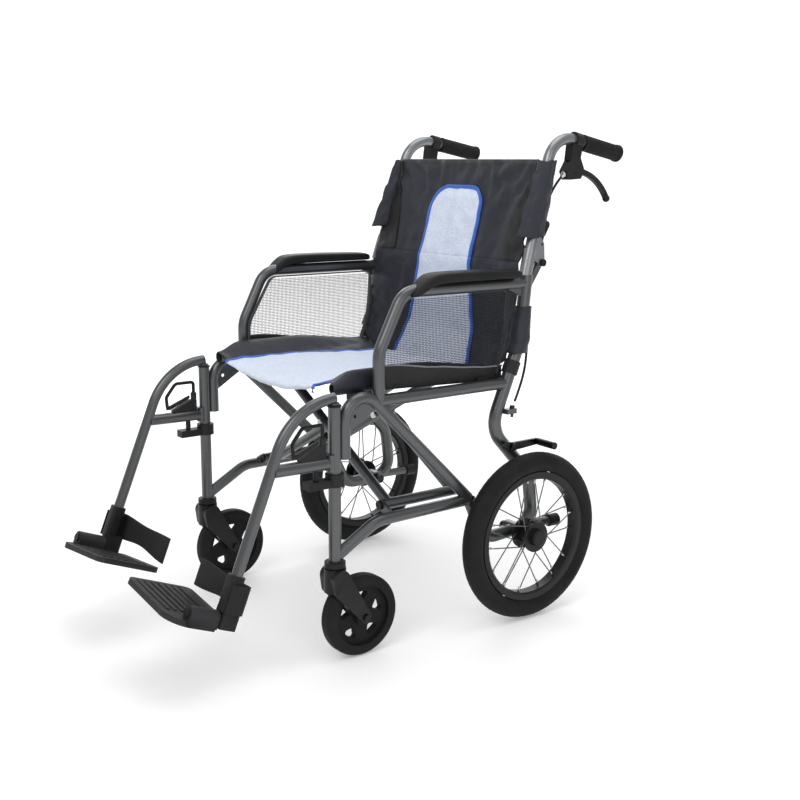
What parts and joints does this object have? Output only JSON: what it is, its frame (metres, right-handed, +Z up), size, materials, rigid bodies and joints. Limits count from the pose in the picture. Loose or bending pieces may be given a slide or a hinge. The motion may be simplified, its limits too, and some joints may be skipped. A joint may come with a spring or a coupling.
{
  "type": "transport wheelchair",
  "caption": "Folding transport wheelchair with cross brace, pneumatic rear wheels, swivel casters, swing-away leg rests, folding back and attendant brakes.",
  "frame": {"origin": "centre of the chair's footprint, on the floor", "axes": "+Z up, -Y the way the chair faces, +X the occupant's left"},
  "size_m": [0.64, 1.0292, 0.9425],
  "materials": {
    "frame_paint": "metallic graphite grey, satin",
    "handle_tube": "metallic silver grey, satin",
    "black_plastic": "moulded, fine grain",
    "fork_plastic": "moulded glass-filled, satin",
    "rim_plastic": "moulded, satin",
    "hub_plastic": "moulded, satin",
    "footplate_plastic": "moulded, ribbed, fine grain",
    "lever_plastic": "moulded, satin",
    "steel": "zinc plated",
    "dark_bolts": "black plated",
    "spoke_wire": "dark plated wire",
    "loop_wire": "black coated wire",
    "brake_arm": "black coated, knurled roller",
    "tyre": "rubber with fine tread",
    "caster_wheel": "solid rubber tread on a moulded centre",
    "grip_rubber": "soft, ribbed",
    "cable_sheath": "smooth black sheath",
    "strap_webbing": "woven webbing",
    "pad_foam": "skinned polyurethane foam, fine leather grain",
    "side_mesh": "open mesh with a solid skirt",
    "seat_fabric": "charcoal navy nylon, light quilted centre with blue piping",
    "back_fabric": "charcoal navy nylon, light quilted centre with blue piping"
  },
  "bodies": {
    "left_side": {"left_lower_frame": "frame_paint", "left_upper_frame": "frame_paint", "left_back_post": "frame_paint", "left_frame_caps": "black_plastic", "left_frame_bolts": "dark_bolts", "left_caster_housing": "black_plastic", "left_armrest_pad": "pad_foam", "left_side_panel": "side_mesh", "back_cover_lower": "back_fabric"},
    "right_side": {"right_lower_frame": "frame_paint", "right_upper_frame": "frame_paint", "right_back_post": "frame_paint", "right_frame_caps": "black_plastic", "right_frame_bolts": "dark_bolts", "right_caster_housing": "black_plastic", "right_armrest_pad": "pad_foam", "right_side_panel": "side_mesh"},
    "brace_a": {"brace_a": "frame_paint", "cross_bolts": "steel"},
    "brace_b": {"brace_b": "frame_paint", "seat": "seat_fabric"},
    "left_rear_wheel": {"left_rear_tyre": "tyre", "left_rear_rim": "rim_plastic", "left_rear_hub": "hub_plastic", "left_rear_spokes": "spoke_wire"},
    "left_caster_fork": {"left_caster_fork": "fork_plastic", "left_caster_axle": "dark_bolts"},
    "left_caster_wheel": {"left_caster_wheel": "caster_wheel"},
    "left_leg_rest": {"left_hanger": "frame_paint", "left_hanger_fittings": "black_plastic"},
    "left_release_loop": {"left_release_loop": "loop_wire"},
    "left_footplate": {"left_footplate": "footplate_plastic", "left_heel_strap": "strap_webbing"},
    "left_back": {"left_handle_post": "handle_tube", "left_grip": "grip_rubber", "left_lever_housing": "black_plastic", "left_brake_cable": "cable_sheath", "back_cover_upper": "back_fabric"},
    "left_fold_lever": {"left_fold_lever": "black_plastic"},
    "left_brake_lever": {"left_brake_lever": "lever_plastic"},
    "left_brake_arm": {"left_brake_arm": "brake_arm"},
    "right_rear_wheel": {"right_rear_tyre": "tyre", "right_rear_rim": "rim_plastic", "right_rear_hub": "hub_plastic", "right_rear_spokes": "spoke_wire"},
    "right_caster_fork": {"right_caster_fork": "fork_plastic", "right_caster_axle": "dark_bolts"},
    "right_caster_wheel": {"right_caster_wheel": "caster_wheel"},
    "right_leg_rest": {"right_hanger": "frame_paint", "right_hanger_fittings": "black_plastic"},
    "right_release_loop": {"right_release_loop": "loop_wire"},
    "right_footplate": {"right_footplate": "footplate_plastic", "right_heel_strap": "strap_webbing"},
    "right_back": {"right_handle_post": "handle_tube", "right_grip": "grip_rubber", "right_lever_housing": "black_plastic", "right_brake_cable": "cable_sheath"},
    "right_fold_lever": {"right_fold_lever": "black_plastic"},
    "right_brake_lever": {"right_brake_lever": "lever_plastic"},
    "right_brake_arm": {"right_brake_arm": "brake_arm"}
  },
  "joints": [
    {"name": "fold", "type": "hinge", "parent": "left_side", "child": "brace_a", "pos_m": [0.212, 0.023, 0.262], "axis": [0, 1, 0], "range_deg": [0, 50], "deforming": ["seat", "back_cover_lower", "back_cover_upper"]},
    {"name": "fold_cross", "type": "hinge", "parent": "brace_a", "child": "brace_b", "pos_m": [0, 0.023, 0.37764], "axis": [0, 1, 0], "range_deg": [-100, 0]},
    {"name": "fold_right", "type": "hinge", "parent": "brace_b", "child": "right_side", "pos_m": [-0.212, 0.023, 0.262], "axis": [0, 1, 0], "range_deg": [0, 50]},
    {"name": "left_rear_wheel_spin", "type": "hinge", "parent": "left_side", "child": "left_rear_wheel", "pos_m": [0.289, 0.2345, 0.1665], "axis": [1, 0, 0], "continuous": true},
    {"name": "left_caster_swivel", "type": "hinge", "parent": "left_side", "child": "left_caster_fork", "pos_m": [0.242, -0.1925, 0.16], "axis": [0, 0, 1], "continuous": true},
    {"name": "left_caster_spin", "type": "hinge", "parent": "left_caster_fork", "child": "left_caster_wheel", "pos_m": [0.242, -0.1405, 0.076], "axis": [1, 0, 0], "continuous": true},
    {"name": "left_leg_rest_swing", "type": "hinge", "parent": "left_side", "child": "left_leg_rest", "pos_m": [0.242, -0.1925, 0.46], "axis": [0, 0, 1], "range_deg": [0, 90]},
    {"name": "left_release_turn", "type": "hinge", "parent": "left_leg_rest", "child": "left_release_loop", "pos_m": [0.242, -0.2175, 0.41], "axis": [0, 0, -1], "range_deg": [0, 18]},
    {"name": "left_footplate_flip", "type": "hinge", "parent": "left_leg_rest", "child": "left_footplate", "pos_m": [0.238, -0.4175, 0.132], "axis": [0, 0.9272, -0.3746], "range_deg": [0, 85], "deforming": ["left_heel_strap"]},
    {"name": "left_back_fold", "type": "hinge", "parent": "left_side", "child": "left_back", "pos_m": [0.242, 0.2835, 0.694], "axis": [-1, 0, 0], "range_deg": [0, 115], "deforming": ["left_brake_cable", "back_cover_upper"]},
    {"name": "left_fold_lever_turn", "type": "hinge", "parent": "left_back", "child": "left_fold_lever", "pos_m": [0.242, 0.2815, 0.729], "axis": [-1, 0, 0], "range_deg": [0, 20], "stiffness_Nm_per_rad": 0.2},
    {"name": "left_brake_squeeze", "type": "hinge", "parent": "left_back", "child": "left_brake_lever", "pos_m": [0.225, 0.3805, 0.864], "axis": [1, 0, 0], "range_deg": [0, 26], "stiffness_Nm_per_rad": 0.6},
    {"name": "left_brake_arm_turn", "type": "hinge", "parent": "left_side", "child": "left_brake_arm", "pos_m": [0.26, 0.2085, 0.343], "axis": [-1, 0, 0], "range_deg": [0, 7.8]},
    {"name": "right_rear_wheel_spin", "type": "hinge", "parent": "right_side", "child": "right_rear_wheel", "pos_m": [-0.289, 0.2345, 0.1665], "axis": [1, 0, 0], "continuous": true},
    {"name": "right_caster_swivel", "type": "hinge", "parent": "right_side", "child": "right_caster_fork", "pos_m": [-0.242, -0.1925, 0.16], "axis": [0, 0, 1], "continuous": true},
    {"name": "right_caster_spin", "type": "hinge", "parent": "right_caster_fork", "child": "right_caster_wheel", "pos_m": [-0.242, -0.1405, 0.076], "axis": [1, 0, 0], "continuous": true},
    {"name": "right_leg_rest_swing", "type": "hinge", "parent": "right_side", "child": "right_leg_rest", "pos_m": [-0.242, -0.1925, 0.46], "axis": [0, 0, -1], "range_deg": [0, 90]},
    {"name": "right_release_turn", "type": "hinge", "parent": "right_leg_rest", "child": "right_release_loop", "pos_m": [-0.242, -0.2175, 0.41], "axis": [0, 0, 1], "range_deg": [0, 18]},
    {"name": "right_footplate_flip", "type": "hinge", "parent": "right_leg_rest", "child": "right_footplate", "pos_m": [-0.238, -0.4175, 0.132], "axis": [0, -0.9272, 0.3746], "range_deg": [0, 85], "deforming": ["right_heel_strap"]},
    {"name": "right_back_fold", "type": "hinge", "parent": "right_side", "child": "right_back", "pos_m": [-0.242, 0.2835, 0.694], "axis": [-1, 0, 0], "range_deg": [0, 115], "deforming": ["right_brake_cable"]},
    {"name": "right_fold_lever_turn", "type": "hinge", "parent": "right_back", "child": "right_fold_lever", "pos_m": [-0.242, 0.2815, 0.729], "axis": [-1, 0, 0], "range_deg": [0, 20], "stiffness_Nm_per_rad": 0.2},
    {"name": "right_brake_squeeze", "type": "hinge", "parent": "right_back", "child": "right_brake_lever", "pos_m": [-0.225, 0.3805, 0.864], "axis": [1, 0, 0], "range_deg": [0, 26], "stiffness_Nm_per_rad": 0.6},
    {"name": "right_brake_arm_turn", "type": "hinge", "parent": "right_side", "child": "right_brake_arm", "pos_m": [-0.26, 0.2085, 0.343], "axis": [-1, 0, 0], "range_deg": [0, 7.8]}
  ],
  "couplings": [
    {"joint": "fold_cross", "follows": "fold", "ratio": -2},
    {"joint": "fold_right", "follows": "fold", "ratio": 1},
    {"joint": "left_footplate_flip", "follows": "fold", "ratio": 1.7},
    {"joint": "left_brake_arm_turn", "follows": "left_brake_squeeze", "ratio": 0.3},
    {"joint": "right_footplate_flip", "follows": "fold", "ratio": 1.7},
    {"joint": "right_brake_arm_turn", "follows": "right_brake_squeeze", "ratio": 0.3},
    {"joint": "right_back_fold", "follows": "left_back_fold", "ratio": 1}
  ]
}
